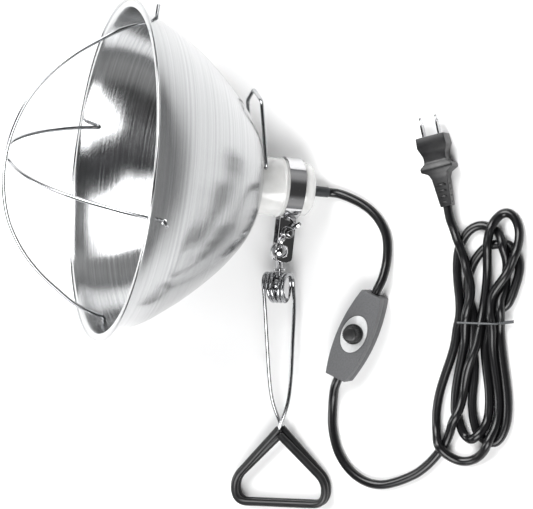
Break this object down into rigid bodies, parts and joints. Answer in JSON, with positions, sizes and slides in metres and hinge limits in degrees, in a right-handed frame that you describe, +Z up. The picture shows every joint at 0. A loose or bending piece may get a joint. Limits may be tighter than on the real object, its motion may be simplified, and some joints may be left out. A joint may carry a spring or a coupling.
{
  "type": "clamp-on heat lamp fixture",
  "caption": "Clamp-on brooder heat lamp: spun aluminium reflector with wire guard, porcelain socket, ball-jointed spring clamp, hanging bail and a corded in-line dimmer.",
  "frame": {"origin": "bottom centre of the lamp and clamp's box as they lie on a surface, cord left out", "axes": "+Z up, +Y along the longest extent from the jaws towards the reflector's high side, +X from the guard towards the socket"},
  "size_m": [0.393, 0.3981, 0.2194],
  "materials": {
    "spun_aluminium": "satin spun, fine rings",
    "plated_wire": "bright plated",
    "chrome": "polished",
    "brass": "satin",
    "porcelain": "glazed",
    "vinyl": "satin",
    "cord_jacket": "satin",
    "black_plastic": "moulded, fine texture",
    "dial_grey": "satin",
    "circuit_board": "matt",
    "tie_wire": "satin"
  },
  "bodies": {
    "lamp": {"reflector": "spun_aluminium", "guard_bow_outer": "plated_wire", "guard_bow_inner": "plated_wire", "socket_body": "porcelain", "retaining_ring": "porcelain", "screw_shell": "brass", "centre_contact": "brass", "socket_cap": "porcelain", "cap_screw_1": "brass", "cap_screw_2": "brass", "terminal_screw_1": "brass", "terminal_screw_2": "brass", "strain_relief": "vinyl", "mounting_band": "chrome", "band_bolt": "chrome", "bolt_washer": "chrome", "dimmer_base": "black_plastic", "dimmer_cover": "black_plastic", "dial_plate": "dial_grey", "potentiometer": "circuit_board", "dimmer_board": "circuit_board", "triac_heatsink": "spun_aluminium", "dimmer_screw_1": "chrome", "dimmer_screw_2": "chrome", "cord_lamp_side": "cord_jacket", "cord_plug_side": "cord_jacket", "cord_hank": "cord_jacket", "cord_tail": "cord_jacket", "twist_tie": "tie_wire", "plug_body": "vinyl", "plug_blade_1": "chrome", "plug_blade_2": "chrome"},
    "bail": {"hanging_bail": "plated_wire"},
    "nut": {"wing_nut": "chrome"},
    "stud": {"ball_stud": "chrome", "stud_collar": "chrome"},
    "clamp": {"coil_barrel": "chrome", "spring_coil": "plated_wire"},
    "upper_arm": {"upper_arm": "plated_wire", "upper_jaw_sleeve": "vinyl"},
    "lower_arm": {"lower_arm": "plated_wire", "lower_jaw_sleeve": "vinyl"},
    "knob": {"dimmer_knob": "black_plastic", "pot_shaft": "chrome"}
  },
  "joints": [
    {"name": "clamp_tilt", "type": "hinge", "parent": "lamp", "child": "stud", "pos_m": [0.07804, 0.00417, 0.0275], "axis": [-0.6018, 0.0695, -0.7956], "range_deg": [0, 50]},
    {"name": "clamp_swivel", "type": "hinge", "parent": "stud", "child": "clamp", "pos_m": [0.07804, 0.00417, 0.0275], "axis": [-0.033, -0.9938, -0.1063], "range_deg": [-90, 90]},
    {"name": "upper_arm_spread", "type": "hinge", "parent": "clamp", "child": "upper_arm", "pos_m": [0.07708, -0.02465, 0.02442], "axis": [-0.9995, 0.0332, 0], "range_deg": [0, 9], "stiffness_Nm_per_rad": 8, "springref_deg": -20.05},
    {"name": "lower_arm_spread", "type": "hinge", "parent": "clamp", "child": "lower_arm", "pos_m": [0.07708, -0.02465, 0.02442], "axis": [-0.9995, 0.0332, 0], "range_deg": [-9, 0], "stiffness_Nm_per_rad": 8, "springref_deg": 20.05},
    {"name": "bail_swing", "type": "hinge", "parent": "lamp", "child": "bail", "pos_m": [0.06654, 0.06962, 0.04192], "axis": [-0.6018, 0.0695, -0.7956], "range_deg": [0, 78]},
    {"name": "nut_turn", "type": "hinge", "parent": "lamp", "child": "nut", "pos_m": [0.08778, 0.01834, 0.03394], "axis": [0.6018, -0.0695, 0.7956], "continuous": true},
    {"name": "knob_turn", "type": "hinge", "parent": "lamp", "child": "knob", "pos_m": [0.13723, -0.06089, 0.02], "axis": [0, 0, 1], "range_deg": [-150, 150]}
  ],
  "couplings": [
    {"joint": "lower_arm_spread", "follows": "upper_arm_spread", "ratio": -1}
  ]
}
